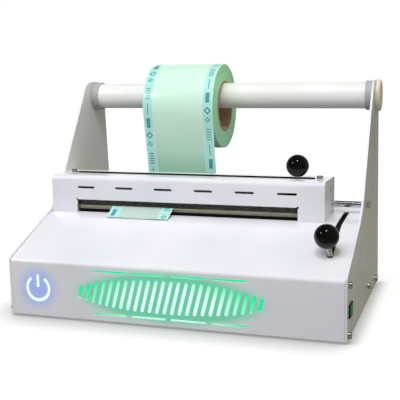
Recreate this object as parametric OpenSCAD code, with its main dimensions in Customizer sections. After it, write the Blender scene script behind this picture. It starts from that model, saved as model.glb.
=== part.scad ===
// Countertop sealer for sterilization pouches: a sloped sheet-metal housing between two swept
// side plates, a sealing head with a film cutter, a hand lever, and a tube that carries the reel.
// Millimetres, +Z up. X runs along the head, the operator sits on the -Y side.

/* [Frame] */
// Width over the outer faces of the side plates
overall_w = 420; // [410:1:440]
// Depth of a side plate along the table
plate_depth = 308; // [292:1:314]
// Thickness of a side plate
plate_t = 2.5; // [2:0.5:4]
// Height of a rubber foot under the base
foot_h = 3; // [2:0.5:6]
// Distance of a foot's middle from the side plate
foot_in = 11.5; // [11.5:0.5:40]
// Distance of the front feet from the front
foot_front_y = 28; // [20:1:60]
// Distance of the rear feet from the plate's rear corner
foot_rear_in = 73; // [30:1:90]
// Radius of a rubber foot
foot_r = 9; // [6:0.5:12]
// Thickness of the folded covers
sheet_t = 2; // [1.5:0.25:2.5]
// Side gap between the covers and the plates
cover_gap = 0.3; // [0.2:0.1:0.8]

/* [Side plates] */
// How far the plate's front corner stands over the front panel
corner_over = 2.5; // [2:0.5:8]
// Radius of the plate's front corner
corner_r = 5; // [4:0.5:14]
// Rise over run of the plate's lower edge
lip_slope = 0.41; // [0.4:0.01:0.5]
// Radius of the inward sweep between the lower edge and the post
sweep_r = 100; // [80:2:110]
// Rise over run of the post's front edge
post_slope = 1.65; // [1.6:0.05:2]
// Height of the plate's top edge over the tube's axis
post_over = 21; // [20:0.5:26]
// Distance of the post's upper front corner before the tube's axis
post_front = 30; // [28:0.5:31]
// Distance of the post's upper rear corner behind the tube's axis
post_rear = 25.3; // [24:0.1:34]

/* [Housing] */
// Height of the front panel
front_h = 70; // [64:1:72]
// How far the front panel's lower edge is set back
front_lean = 3; // [1:0.5:6]
// Distance of the deck's crease from the front
crease_y = 100; // [94:1:102]
// Bend radius of the deck at the crease
crease_r = 90; // [60:5:160]
// Rise over run of the deck's sloped front
deck_slope = 0.43; // [0.38:0.01:0.45]
// Rise over run of the deck behind the crease
rear_slope = 0.08; // [0:0.01:0.1]
// Depth of the closed housing
housing_d = 206; // [200:1:215]
// Height of the base tray's side flanges
flange_h = 25; // [24:0.5:25.5]

/* [Front light] */
// Number of light slots in the front panel
slot_count = 25; // [11:2:25]
// Distance between light slots
slot_pitch = 9.4; // [9:0.1:9.5]
// Width of a light slot
slot_w = 4.4; // [3:0.2:4.6]
// Length of the longest light slot
slot_l = 42; // [30:1:42]
// Lean of the light slots
slot_lean = 15; // [0:1:18]
// Outer radius of the power sign
icon_r = 17; // [12:0.5:18]
// Stroke of the power sign
icon_w = 4; // [3:0.25:4.5]
// Distance of the power sign's middle from the side plate
icon_in = 36.5; // [31.5:0.5:41.5]

/* [Sealing head] */
// Distance of the head's front face behind the deck's crease
head_in = 10; // [8:1:12]
// Depth of the head
head_d = 74; // [72:1:78]
// Height of the head's top over the deck's crease
head_over = 50.5; // [48:0.5:52]
// Radius of the head's top bends
head_r = 7; // [4:0.5:9]
// Distance of the head's right end from the side plate
head_gap = 42; // [41.5:0.5:47.5]
// Distance of the window's left end from the side plate
window_left_in = 37.5; // [31.5:0.5:42.5]
// Distance of the window's right end from the head's right end
window_right_in = 33.5; // [29.5:0.5:37.5]
// Height of the window's upper edge over the deck's crease
window_over = 18; // [17:0.5:21]
// Height of the film's run through the jaws over the deck's crease
film_over = 10; // [9.5:0.1:11]
// Distance of the stay rod behind the head's front face
stay_in = 55; // [50:0.5:58]
// Height of the stay rod over the deck's crease
stay_over = 17; // [15:0.5:19]
// Radius of the stay rod
stay_r = 4; // [3:0.5:4]
// Length of a vent slot
vent_l = 25; // [15:1:30]
// Width of a vent slot
vent_w = 3; // [2:0.5:4]
// Distance between vent slots
vent_pitch = 55; // [50:0.5:56]

/* [Jaw drive] */
// Distance of the cam shaft behind the head's front face
shaft_in = 14; // [13:0.5:15]
// Height of the cam shaft over the base
shaft_z = 20; // [19:0.5:21]
// Radius of the cam shaft
shaft_r = 6; // [5:0.5:7]
// Smallest radius of a lift cam
cam_r = 9.5; // [9:0.25:10]
// Lift of the jaw over the lever's travel
jaw_lift = 5; // [3:0.5:6]
// Travel of the lever in degrees
lever_travel = 54; // [45:1:54]
// Forward lean of the lever's arm at rest in degrees
lever_lean = 50; // [49:0.5:51]
// Distance of the lever from the side plate
lever_in = 23.5; // [21.5:0.5:23.5]
// Height of the lever's bend over the deck
bend_over = 1.7; // [1.5:0.1:4]
// Length of the lever's stud from the bend to the knob's middle
stud_l = 22; // [21:0.5:26]
// Forward lean of the stud at rest in degrees
stud_lean = 8.5; // [0:0.5:12]
// Lean of the stud towards the middle in degrees
stud_tilt = 9.5; // [0:0.5:9.5]
// Room before the lever's bend at the slot's near end
slot_lead = 0.3; // [0.2:0.1:2]
// Distance of the lever slot's far end behind the cam shaft
slot_run = 48; // [41:0.5:51]
// Radius of the lever rod
lever_r = 3; // [2.5:0.25:3.25]
// Radius of a jaw post
post_r = 5; // [4:0.5:6]
// Distance of a jaw post from the window's end
post_in = 21; // [17:1:41]

/* [Cutter] */
// Distance of the cutter knob from the window's right end
cutter_in = 8; // [6:1:32]
// Radius of a ball knob
knob_r = 14.5; // [12:0.5:14.5]
// Height of the cutter knob's middle over the head
knob_over = 16; // [15.5:0.5:20]
// Radius of the cutter rail
rail_r = 4; // [3:0.5:5]
// Width of the guide strip round the cutter's slot
guide_w = 10; // [9:0.5:12]
// Height of the guide strip over the head
guide_t = 1; // [0.8:0.1:1.5]

/* [Reel carrier] */
// Distance of the tube's axis behind the head
tube_gap = 70; // [66:1:72]
// Height of the tube over the base
tube_z = 267; // [262:1:268]
// Radius of the tube
tube_r = 18; // [15:0.5:19]
// Radius of a tube journal in the side plate
journal_r = 7; // [5:0.5:8]
// Radius of an end cap
cap_r = 21.5; // [20:0.5:24]
// Thickness of an end cap
cap_t = 6; // [4:0.5:8]
// Outer radius of the film reel
reel_r = 60; // [45:1:62]
// Inner radius of the reel's core
core_r = 33; // [30:0.5:36]
// Wall of the reel's core
core_t = 3; // [2:0.5:4]
// Width of the film on the reel
reel_w = 103; // [75:1:105]
// Distance of the reel's left end from the side plate
reel_in = 100; // [95.5:0.5:147.5]
// Lean of the hanging film in degrees
web_lean = 12; // [0:1:14]
// How far the pouch reaches out before the head
pouch_out = 16; // [12:1:20]
// Width of the cut pouch
pouch_w = 86; // [50:1:100]
// Distance of the cut pouch's middle from the window's left end
pouch_in = 93; // [60:1:110]

/* [Fits] */
// Radial play of a turning or sliding fit
play = 0.05; // [0.02:0.01:0.1]
// Radial room of a screw in its hole
screw_room = 0.15; // [0.1:0.05:0.3]
// Space kept round film and paper
film_room = 0.4; // [0.3:0.05:0.5]
// Thickness of the film
film_t = 0.4; // [0.3:0.05:0.5]

/* [Part to draw] */
// Sub-part to draw, or all of them

/* [Hidden] */
$fn = 64;
inner_w = overall_w - 2 * plate_t;
plate_in = inner_w / 2;
cover_x = plate_in - cover_gap;
lean_a = atan(front_lean / front_h);
crease_z = front_h + deck_slope * crease_y;
deck_a = atan(deck_slope);
rear_a = atan(rear_slope);
bend_l = crease_r * tan((deck_a - rear_a) / 2);
bend_y = crease_y - bend_l * cos(deck_a);
bend_end_y = crease_y + bend_l * cos(rear_a);
bend_mid = [bend_y + crease_r * sin(deck_a), front_h + deck_slope * bend_y - crease_r * cos(deck_a)];
head_y = crease_y + head_in;
head_top = crease_z + head_over;
head_right = plate_in - head_gap;
window_left = window_left_in - plate_in;
window_right = head_right - window_right_in;
window_top = crease_z + window_over;
film_z = crease_z + film_over;
stay_y = head_y + stay_in;
stay_z = crease_z + stay_over;
shaft_y = head_y + shaft_in;
tube_y = head_y + head_d + tube_gap;
depth_mid = (tube_y + reel_r) / 2;
corner_h = front_h + corner_over;
plate_top = tube_z + post_over;
post_top_y = tube_y - post_front;
foot_x = plate_in - foot_in;
foot_rear_y = plate_depth - foot_rear_in;
icon_x = icon_in - plate_in;
lever_x = plate_in - lever_in;
cutter_x = window_right - cutter_in;
cutter_knob_z = head_top + knob_over;
reel_x = reel_in - plate_in;
pouch_tip_y = head_y - pouch_out;
pouch_x = window_left + pouch_in;
jaw_x = (window_left + window_right) / 2;
jaw_l = window_right - window_left;
post_dx = jaw_l / 2 - post_in;
jaw_w = 16;
bar_h = 10;
strip_h = 2;
strip_top = film_z - film_room;
bar_top = strip_top - strip_h;
bar_z = bar_top - bar_h;
guide_room = 7.6;
guide_h = 16;
stand_out = 16;
stand_in = 12;
stand_toe = 4;
stand_d = 28;
wall_t = 7;
sole_d = 44;
sole_t = 4;
sole_hole = 18;
stand_top = bar_z - jaw_lift - guide_room;
heater_z = film_z + film_t + film_room;
cam_top = cam_r + jaw_lift;
foot_z = shaft_z + cam_top + 0.2;
head_x = -cover_x;
cutter_slot_l = jaw_l + 27;
guide_end = 2;
end_t = 3;
tab_l = 22;
tab_w = 24;
knob_y = head_y + head_d / 2;
rail_y = knob_y + 11;
rail_z = head_top - 15;
reel_z = tube_z + tube_r - core_r + film_room;
journal_end = overall_w / 2 + cover_gap;
tube_half = plate_in - 11;
lever_room = 0.5;
hub_w = 16;
hub_r = 12;
socket_r = 6;
socket_l = 30;
rod_start = 10;
arm_l = (front_h + deck_slope * shaft_y + bend_over - shaft_z)
    / (cos(lever_lean) + deck_slope * sin(lever_lean));
slot_front = shaft_y - arm_l * sin(lever_lean) - lever_r - lever_room - slot_lead;
slot_rear = shaft_y + slot_run;
seat_gap = 0.2;
end_in = 0.3;
web_bends = [0, 22, 0];
pouch_bends = [0, 8, 0];
rear_y = housing_d - 0.5;
rear_room = 2.5;
inlet_in = 57.5;
inlet_x = inlet_in - plate_in;
fuse_gap = 44;
fuse_x = inlet_x + fuse_gap;
inlet_z = 45;
inlet_half = 13.5;
inlet_half_h = 10;
fuse_r = 6;
stem_r = 2.2;
cutter_slot_w = 2 * stem_r + 0.6;
tube_wall = 2.5;
heater_h = 20;
heater_rod_r = 4;
heater_rod_z = heater_z + 7;
stay_end_r = 2.5;
nut_r = 4.6;
nut_h = 4;
switch_half = 9.5;
switch_half_h = 6;
pin_r = 1.5;
pin_in = 2;
rocker_tilt = 10;
cut = 12;
left_screw_x = head_x + 15.5;
right_screw_x = head_right - 12.5;
left_end_x = head_x + seat_gap;
right_end_x = head_right - end_in;
board_y = 13;
lens_t = 3;
light_half = slot_count * slot_pitch / 2 + 6.5;
sign_half = icon_r + 5;
screw_r = 2;
screw_head_r = 4;
screw_head_h = 3.8;
head_screw_h = 4.2;
head_screw_l = 7;
plate_screw_l = 10;
hex_deep = 2;
front_screw_y = 11;
top_screw_drop = 7;
low_screw_z = 6;
mid_screw_in = 21;
mid_screw_z = 20;
rear_screw_in = 38;
rear_screw_z = 10;
plate_screw_at = [
    [front_screw_y, front_h - top_screw_drop],
    [front_screw_y, low_screw_z],
    [housing_d - mid_screw_in, mid_screw_z],
    [plate_depth - rear_screw_in, rear_screw_z]
];
deck_screw = plate_screw_at[0];
switch_y = 23;
switch_z = 32;
core_w = 60;
core_d = 40;
core_h = 50;
coil_w = 40;
coil_h = 34;
coil_out = 5;
lug_w = 76;
lug_d = 22;
lug_t = 5;
core_gap = 46;
core_x = fuse_x + core_gap;
core_y = rear_y - sheet_t - rear_room - coil_out - core_d / 2;
core_z = sheet_t + lug_t - 1;
board_w = 100;
board_d = 48;
board_t = 1.6;
board_z = 10;
board_gap = 14;
board_x = core_x + lug_w / 2 + board_gap;
board_back = 5;
board_front = rear_y - sheet_t - rear_room - board_back - board_d;
relay_x = 10;
relay_y = 8;
relay_w = 25;
relay_d = 20;
relay_h = 16;
sink_x = 44;
sink_y = 12;
sink_w = 18;
sink_d = 26;
sink_h = 10;
plug_x = 70;
plug_w = 22;
plug_d = 10;
plug_h = 13;
can_x = 80;
can_y = 34;
can_r = 6;
can_h = 18;
peg_in = 5;
peg_r = 3;
light_drop = 5;
light_half_h = front_h / 2 - light_drop;
dash_drop = 8.5;
dash_z = front_h / 2 - dash_drop;

// Height of the deck's upper face at a distance from the front
function deck_at(y) =
    y < bend_y ? front_h + deck_slope * y
    : y > bend_end_y ? crease_z + rear_slope * (y - crease_y)
    : bend_mid[1] + sqrt(pow(crease_r, 2) - pow(y - bend_mid[0], 2));

function unit(v) = v / norm(v);

function turn(a) = a > 180 ? a - 360 : (a < -180 ? a + 360 : a);

function arc(c, r, a0, a1, n) =
    [for (i = [0 : n]) let(a = a0 + (a1 - a0) * i / n) c + r * [cos(a), sin(a)]];

// Arc of radius r that rounds corner b between a and c
function corner(a, b, c, r, n) =
    let(u = unit(a - b), v = unit(c - b), h = acos(u * v) / 2)
    let(m = b + unit(u + v) * r / sin(h), s = b + u * r / tan(h) - m, e = b + v * r / tan(h) - m)
    let(a0 = atan2(s[1], s[0]), a1 = atan2(e[1], e[0]))
    arc(m, r, a0, a0 + turn(a1 - a0), n);

function before(p, i) = p[(i + len(p) - 1) % len(p)];

function after(p, i) = p[(i + 1) % len(p)];

// Outline with its corners rounded by the radii in r
function rounded(p, r, n = 8) =
    [for (i = [0 : len(p) - 1])
        each (r[i] > 0 ? corner(before(p, i), p[i], after(p, i), r[i], n) : [p[i]])];

// Unit vector to the right of the way from a to b
function right_of(a, b) = let(d = unit(b - a)) [d[1], -d[0]];

// Open path moved to its right by t
function shifted(p, t) =
    [for (i = [0 : len(p) - 1])
        let(j = max(i, 1), k = min(i, len(p) - 2))
        let(m = right_of(p[j - 1], p[j]), q = right_of(p[k], p[k + 1]))
        p[i] + (m + q) * t / (1 + m * q)];

function flipped(p) = [for (i = [len(p) - 1 : -1 : 0]) p[i]];

// Outline of a folded sheet of thickness t whose outer face follows the path
function folded(p, r, t, n = 8) =
    concat(rounded(p, r, n), flipped(rounded(shifted(p, t), [for (x = r) max(x - t, 0)], n)));

// Where the plate's lower edge and its post would meet
post_foot_y = (plate_top - corner_h - post_slope * post_top_y) / (lip_slope - post_slope);
post_foot = [post_foot_y, corner_h + lip_slope * post_foot_y];

plate_corners = [
    [front_lean, 0],
    [0, corner_h],
    post_foot,
    [post_top_y, plate_top],
    [tube_y + post_rear, plate_top],
    [plate_depth, 0]
];
plate_radii = [0, corner_r, sweep_r, 28, 24, 4];

deck_path = [
    [front_lean, cover_gap],
    [0, front_h],
    [crease_y, crease_z],
    [housing_d, deck_at(housing_d)]
];

head_path = [
    [head_y, deck_at(head_y) + 0.2],
    [head_y, head_top],
    [head_y + head_d, head_top],
    [head_y + head_d, film_z + 9]
];

// The film hangs from the reel's front and turns in under the head's rear wall
web_r = reel_r + film_room;
web_top = [tube_y - web_r * cos(web_lean), reel_z - web_r * sin(web_lean)];
web_drop = web_top[1] - film_z - film_t;
web_path = [
    web_top,
    [web_top[0] + web_drop * tan(web_lean), film_z + film_t],
    [knob_y + 6, film_z + film_t]
];

// A cut piece of film lies in the jaws and comes down on to the deck
pouch_path = [
    [pouch_tip_y, deck_at(pouch_tip_y) + 2 * film_room + film_t],
    [shaft_y - jaw_w / 2 - 1, film_z + film_t],
    [knob_y + 1, film_z + film_t]
];

module placed() {
    translate([0, -depth_mid, foot_h]) children();
}

// Extrudes an outline of Y and Z from x0 to x1
module along_x(x0, x1, outline) {
    translate([x0, 0, 0]) rotate([90, 0, 90]) linear_extrude(x1 - x0) polygon(outline);
}

module block(x0, x1, y0, y1, z0, z1) {
    translate([x0, y0, z0]) cube([x1 - x0, y1 - y0, z1 - z0]);
}

module rod_x(x0, x1, r) {
    translate([x0, 0, 0]) rotate([0, 90, 0]) cylinder(r = r, h = x1 - x0);
}

// Round-ended cutter that stands along Z and runs through along Y
module pill(l, w, d) {
    cube([w, d, l - w], center = true);
    translate([0, 0, (l - w) / 2]) rotate([90, 0, 0]) cylinder(r = w / 2, h = d, center = true);
    translate([0, 0, (w - l) / 2]) rotate([90, 0, 0]) cylinder(r = w / 2, h = d, center = true);
}

// Frame of the front panel's outer face, local Y into the housing
module on_panel(x, z) {
    translate([x, front_lean * (1 - z / front_h), z]) rotate([lean_a, 0, 0]) children();
}

// Frame of the lever's arm, local Z along the rod
module on_lever() {
    translate([lever_x, shaft_y, shaft_z]) rotate([lever_lean, 0, 0]) children();
}

// Frame of the lever's stud at the bend, local Z towards the knob
module on_stud() {
    translate([lever_x, shaft_y - arm_l * sin(lever_lean), shaft_z + arm_l * cos(lever_lean)])
        rotate([stud_lean, -stud_tilt, 0]) children();
}

module plate_holes() {
    for (p = plate_screw_at) {
        translate([0, p[0], p[1]]) rod_x(-plate_t, plate_t, screw_r + screw_room);
    }
}

module side_plate_blank() {
    difference() {
        along_x(0, plate_t, rounded(plate_corners, plate_radii, 14));
        plate_holes();
        translate([0, tube_y, tube_z]) rod_x(-1, plate_t + 1, journal_r + play);
    }
}

module left_side_plate() {
    color("white") placed() translate([-overall_w / 2, 0, 0]) side_plate_blank();
}

module right_side_plate() {
    color("white") placed() difference() {
        translate([plate_in, 0, 0]) side_plate_blank();
        translate([0, stay_y, stay_z]) rod_x(plate_in - 1, overall_w / 2 + 1, stay_end_r + screw_room);
        translate([overall_w / 2, switch_y, switch_z])
            cube([3 * plate_t, 2 * (switch_half + seat_gap), 2 * (switch_half_h + seat_gap)], center = true);
    }
}

function field(i) = slot_l * sqrt(max(0.16, 1 - pow(2 * i / (slot_count + 1), 2)));

module light_slots() {
    half = (slot_count - 1) / 2;
    for (i = [-half : half]) {
        on_panel(i * slot_pitch, front_h / 2) rotate([0, slot_lean, 0]) pill(field(i), slot_w, cut);
    }
    for (i = [-1.5 : 1.5], z = [front_h / 2 - dash_z, front_h / 2 + dash_z]) {
        on_panel(i * 50, z) rotate([0, 90, 0]) pill(44, 2.4, cut);
    }
}

module power_sign() {
    on_panel(icon_x, front_h / 2) {
        rotate([90, 0, 0]) rotate([0, 0, 125]) translate([0, 0, -cut / 2])
            rotate_extrude(angle = 290) translate([icon_r - icon_w, 0]) square([icon_w, cut]);
        translate([0, 0, icon_r / 2 + 1]) pill(icon_r, icon_w, cut);
    }
}

module lever_slot() {
    r = lever_r + lever_room;
    y0 = slot_front + r;
    y1 = slot_rear - r;
    for (y = [y0, y1]) {
        translate([lever_x, y, front_h]) cylinder(r = r, h = front_h);
    }
    block(lever_x - r, lever_x + r, y0, y1, front_h, 2 * front_h);
}

module deck_cover() {
    color("white") placed() difference() {
        union() {
            along_x(-cover_x, cover_x, folded(deck_path, [0, 6, crease_r, 0], sheet_t, 12));
            for (x = [-cover_x, cover_x - sheet_t]) {
                block(x, x + sheet_t, 5, 20, deck_screw[1] - 6, front_h);
            }
        }
        light_slots();
        power_sign();
        lever_slot();
        block(window_left - 2, window_right + 2, shaft_y - 10, shaft_y + 10, crease_z - cut, crease_z + cut);
        translate([0, deck_screw[0], deck_screw[1]]) rod_x(-plate_in, plate_in, screw_r + screw_room);
    }
}

module base_plate() {
    color("gainsboro") placed() difference() {
        union() {
            block(-cover_x, cover_x, 6, plate_depth - 6, 0, sheet_t);
            for (x = [-cover_x, cover_x - sheet_t]) {
                block(x, x + sheet_t, 6, plate_depth - 8, 0, flange_h);
            }
        }
        for (i = [1 : len(plate_screw_at) - 1]) {
            translate([0, plate_screw_at[i][0], plate_screw_at[i][1]])
                rod_x(-plate_in, plate_in, screw_r + screw_room);
        }
        for (x = [-110, -60, 60, 110], y = [80, 92, 170, 182]) {
            translate([x, y, -1]) cylinder(r = 2.5, h = sheet_t + 2);
        }
    }
}

module rear_panel() {
    side = cover_x - sheet_t - 0.5;
    color("white") placed() difference() {
        block(-side, side, rear_y - sheet_t, rear_y, sheet_t, deck_at(rear_y - sheet_t) - sheet_t - 0.1);
        for (i = [0 : 7]) {
            translate([20 + i * 14, rear_y, 70]) pill(40, 4, cut);
        }
        translate([inlet_x, rear_y, inlet_z])
            cube([2 * (inlet_half + end_in), cut, 2 * (inlet_half_h + end_in)], center = true);
        translate([fuse_x, rear_y, inlet_z])
            rotate([90, 0, 0]) cylinder(r = fuse_r + screw_room, h = cut, center = true);
    }
}

module feet() {
    color("black") placed() for (x = [-foot_x, foot_x], y = [foot_front_y, foot_rear_y]) {
        difference() {
            translate([x, y, -foot_h]) cylinder(r1 = foot_r - 0.7, r2 = foot_r, h = foot_h);
            translate([x, y, -foot_h - 1]) cylinder(r = 3.5, h = foot_h);
        }
    }
}

// Socket screw along local X with a head of height h
module cap_screw(l, h) {
    difference() {
        union() {
            rod_x(0, h, screw_head_r);
            rod_x(-l, 0.1, screw_r);
        }
        translate([h - hex_deep, 0, 0]) rotate([0, 90, 0]) cylinder(r = 1.75, h = 3, $fn = 6);
    }
}

module plate_screws() {
    color("silver") placed() for (p = plate_screw_at) {
        translate([overall_w / 2, p[0], p[1]]) cap_screw(plate_screw_l, screw_head_h);
        translate([-overall_w / 2, p[0], p[1]]) mirror([1, 0, 0]) cap_screw(plate_screw_l, screw_head_h);
    }
}

// Round-ended slot along X at the level of the head's top
module slot_bar(l, w, h) {
    translate([jaw_x - 0.5, knob_y, head_top]) rotate([90, 0, 0]) rotate([0, 90, 0]) pill(l, w, h);
}

module head_cover() {
    color("white") placed() difference() {
        along_x(head_x, head_right, folded(head_path, [0, head_r, head_r, 0], sheet_t));
        block(window_left, window_right, head_y - 5, head_y + 5, crease_z - cut, window_top);
        for (x = [window_left, window_right]) {
            translate([x, head_y, window_top]) rotate([90, 0, 0]) cylinder(r = 1.6, h = cut, center = true);
        }
        for (i = [0 : 5]) {
            translate([jaw_x + (i - 2.5) * vent_pitch, head_y, head_top - 16])
                rotate([0, 90, 0]) pill(vent_l, vent_w, cut);
        }
        slot_bar(cutter_slot_l, cutter_slot_w, cut);
        for (x = [left_screw_x, right_screw_x]) {
            translate([x, knob_y, head_top - cut / 2]) cylinder(r = screw_r + screw_room, h = cut);
        }
    }
}

// End plate of the head with a tab under the cover's top; local X into the head
module head_end() {
    a = head_y + sheet_t + seat_gap;
    b = head_y + head_d - sheet_t - seat_gap;
    top = head_top - sheet_t - seat_gap;
    along_x(0, end_t, rounded([[a, deck_at(a) + end_in], [a, top], [b, top], [b, deck_at(b) + end_in]],
        [0, head_r - sheet_t, head_r - sheet_t, 0]));
    block(0, tab_l, knob_y - tab_w / 2, knob_y + tab_w / 2, top - end_t, top);
}

// Hole for the cutter's rail near the end at x
module head_end_cuts(x) {
    translate([0, rail_y, rail_z]) rod_x(x - cut, x + cut, rail_r + play);
}

module left_head_end() {
    color("white") placed() difference() {
        translate([left_end_x, 0, 0]) head_end();
        head_end_cuts(head_x);
        translate([left_screw_x, knob_y, head_top - cut]) cylinder(r = screw_r + screw_room, h = cut);
    }
}

module right_head_end() {
    color("white") placed() difference() {
        translate([right_end_x, 0, 0]) mirror([1, 0, 0]) head_end();
        head_end_cuts(head_right);
        translate([right_screw_x, knob_y, head_top - cut]) cylinder(r = screw_r + screw_room, h = cut);
        translate([0, stay_y, stay_z]) rod_x(head_right - cut, head_right + cut, stay_end_r + screw_room);
    }
}

module head_screws() {
    color("silver") placed() for (x = [left_screw_x, right_screw_x]) {
        translate([x, knob_y, head_top]) rotate([0, -90, 0]) cap_screw(head_screw_l, head_screw_h);
    }
}

module stay_rod() {
    color("silver") placed() translate([0, stay_y, stay_z]) {
        rod_x(right_end_x, plate_in, stay_r);
        rod_x(right_end_x - end_t - nut_h - 0.5, overall_w / 2 + nut_h + 0.5, stay_end_r);
    }
}

module hex_nut(x) {
    difference() {
        translate([x, 0, 0]) rotate([0, 90, 0]) cylinder(r = nut_r, h = nut_h, $fn = 6);
        rod_x(x - 1, x + nut_h + 1, stay_end_r + screw_room);
    }
}

module stay_nuts() {
    color("silver") placed() translate([0, stay_y, stay_z]) {
        hex_nut(right_end_x - end_t - nut_h);
        hex_nut(overall_w / 2);
    }
}

module heater_block() {
    color("lightgray") placed() difference() {
        block(window_left - 1, window_right + 1, shaft_y - jaw_w / 2, shaft_y + jaw_w / 2, heater_z,
            heater_z + heater_h);
        translate([0, shaft_y, heater_rod_z]) rod_x(window_left - 5, window_right + 5, heater_rod_r + play);
        translate([0, shaft_y, heater_z + heater_h - 4]) rod_x(window_left - 5, window_left + 40, 1.5);
    }
}

module heater_rods() {
    color("dimgray") placed() translate([0, shaft_y, heater_rod_z])
        rod_x(window_left - 8, window_right - 2, heater_rod_r);
}

module insulator(x0, x1) {
    difference() {
        block(x0, x1, shaft_y - jaw_w / 2 + 1, shaft_y + jaw_w / 2 - 1, heater_z + 1,
            heater_z + heater_h - 1);
        translate([0, shaft_y, heater_rod_z]) rod_x(x0 + 6, x1 + 1, heater_rod_r + end_in);
    }
}

module heater_insulators() {
    color("ivory") placed() {
        insulator(left_end_x + end_t, window_left - 1);
        mirror([1, 0, 0]) insulator(end_t - right_end_x, -window_right - 1);
    }
}

module cutter_rail() {
    color("silver") placed() translate([0, rail_y, rail_z])
        rod_x(left_end_x + seat_gap, right_end_x - seat_gap, rail_r);
}

// Strip on the head's top that frames the cutter's slot
module cutter_guide() {
    color("black") placed() difference() {
        translate([0, 0, guide_t / 2]) slot_bar(cutter_slot_l + 2 * guide_end, guide_w, guide_t);
        slot_bar(cutter_slot_l, cutter_slot_w, cut);
    }
}

// Stand with the shaft's bearing below and the post's guide above; local X = 0 at the post
module cam_stand() {
    difference() {
        union() {
            block(-stand_out - stand_toe, stand_in, shaft_y - sole_d / 2, shaft_y + sole_d / 2, sheet_t,
                sheet_t + sole_t);
            block(-stand_out, wall_t - stand_out, shaft_y - stand_d / 2, shaft_y + stand_d / 2, sheet_t,
                stand_top);
            block(-stand_out, stand_in, shaft_y - stand_in, shaft_y + stand_in, stand_top - guide_h,
                stand_top);
        }
        translate([0, shaft_y, shaft_z]) rod_x(-sole_d, sole_d, shaft_r + play);
        translate([0, shaft_y, stand_top - guide_h - 1]) cylinder(r = post_r + play, h = guide_h + 2);
        for (y = [shaft_y - sole_hole, shaft_y + sole_hole]) {
            translate([-stand_in, y, -1]) cylinder(r = screw_r + end_in, h = cut);
        }
    }
}

module left_cam_stand() {
    color("slategray") placed() translate([jaw_x - post_dx, 0, 0]) cam_stand();
}

module right_cam_stand() {
    color("slategray") placed() translate([jaw_x + post_dx, 0, 0]) mirror([1, 0, 0]) cam_stand();
}

module light_diffuser() {
    color("palegreen") placed() on_panel(0, front_h / 2)
        translate([-light_half, sheet_t + seat_gap, -light_half_h])
            cube([2 * light_half, lens_t, 2 * light_half_h]);
}

module icon_lens() {
    color("aliceblue") placed() on_panel(icon_x, front_h / 2)
        translate([-sign_half, sheet_t + seat_gap, -sign_half]) cube([2 * sign_half, lens_t, 2 * sign_half]);
}

module led_board() {
    color("darkgreen") placed() on_panel(0, front_h / 2) {
        left = icon_x - sign_half;
        lens_back = sheet_t + seat_gap + lens_t;
        translate([left, board_y, -sign_half]) cube([light_half - left, 1.6, 2 * sign_half]);
        stand_x = [icon_x - icon_r, icon_x + icon_r, 6 - light_half, 0, light_half - 6];
        for (x = stand_x, z = [-icon_r, icon_r]) {
            translate([x, lens_back, z]) rotate([-90, 0, 0]) cylinder(r = 2.5, h = board_y + 1 - lens_back);
        }
        half = (slot_count - 1) / 2;
        for (i = [-half : half]) {
            translate([i * slot_pitch - 2.5, board_y - 1.4, -2.5]) cube([5, 2, 5]);
        }
    }
}

module control_board() {
    top = board_t - 0.6;
    color("darkgreen") placed() translate([board_x, board_front, board_z]) {
        block(0, board_w, 0, board_d, 0, board_t);
        block(relay_x, relay_x + relay_w, relay_y, relay_y + relay_d, top, relay_h);
        block(sink_x, sink_x + sink_w, sink_y, sink_y + sink_d, top, sink_h);
        block(plug_x, plug_x + plug_w, relay_y, relay_y + plug_d, top, plug_h);
        translate([can_x, can_y, top]) cylinder(r = can_r, h = can_h);
        for (x = [peg_in, board_w - peg_in], y = [peg_in, board_d - peg_in]) {
            translate([x, y, sheet_t - board_z]) cylinder(r = peg_r, h = board_z - sheet_t + 0.5);
        }
    }
}

module transformer() {
    coil_d = core_d + 2 * coil_out;
    color("dimgray") placed() translate([core_x, core_y, core_z + core_h / 2]) {
        cube([core_w, core_d, core_h], center = true);
        translate([0, 0, -2]) cube([coil_w, coil_d, coil_h], center = true);
        translate([0, 0, sheet_t + lug_t / 2 - core_z - core_h / 2])
            cube([lug_w, lug_d, lug_t], center = true);
    }
}

module mains_inlet() {
    w = inlet_half - 2;
    h = inlet_half_h - 2;
    color("black") placed() translate([inlet_x, rear_y, inlet_z]) {
        difference() {
            union() {
                block(-24, 24, 0, 3, -cut, cut);
                block(-inlet_half, inlet_half, -22, 1, -inlet_half_h, inlet_half_h);
            }
            block(-w, w, -14, 5, -h, h);
        }
        for (p = [[-7, 1], [0, -3], [7, 1]]) {
            block(p[0] - 1, p[0] + 1, -15, 1, p[1] - 2, p[1] + 2);
        }
    }
}

module fuse_holder() {
    color("black") placed() translate([fuse_x, rear_y, inlet_z]) rotate([-90, 0, 0]) {
        cylinder(r = fuse_r + 2, h = 5);
        translate([0, 0, -28]) cylinder(r = fuse_r, h = 29);
    }
}

module switch_body() {
    l = switch_half;
    h = switch_half_h;
    color("black") placed() translate([overall_w / 2, switch_y, switch_z]) difference() {
        union() {
            block(0, 2, -l - 1, l + 1, -h - 1.5, h + 1.5);
            block(-20, 1, -l, l, -h, h);
            for (y = [-6, 0, 6]) {
                block(-26, -19, y - 0.4, y + 0.4, -2.4, 2.4);
            }
        }
        block(-8, 5, 1 - l, l - 1, 1.2 - h, h - 1.2);
        translate([-pin_in, 0, 0]) cylinder(r = pin_r + play, h = 2 * h - 0.8, center = true);
    }
}

module film_web() {
    color("lightgreen") placed()
        along_x(reel_x + 0.5, reel_x + reel_w - 0.5, folded(web_path, web_bends, film_t));
}

module pouch() {
    color("lightgreen") placed()
        along_x(pouch_x - pouch_w / 2, pouch_x + pouch_w / 2, folded(pouch_path, pouch_bends, film_t));
}

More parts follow.
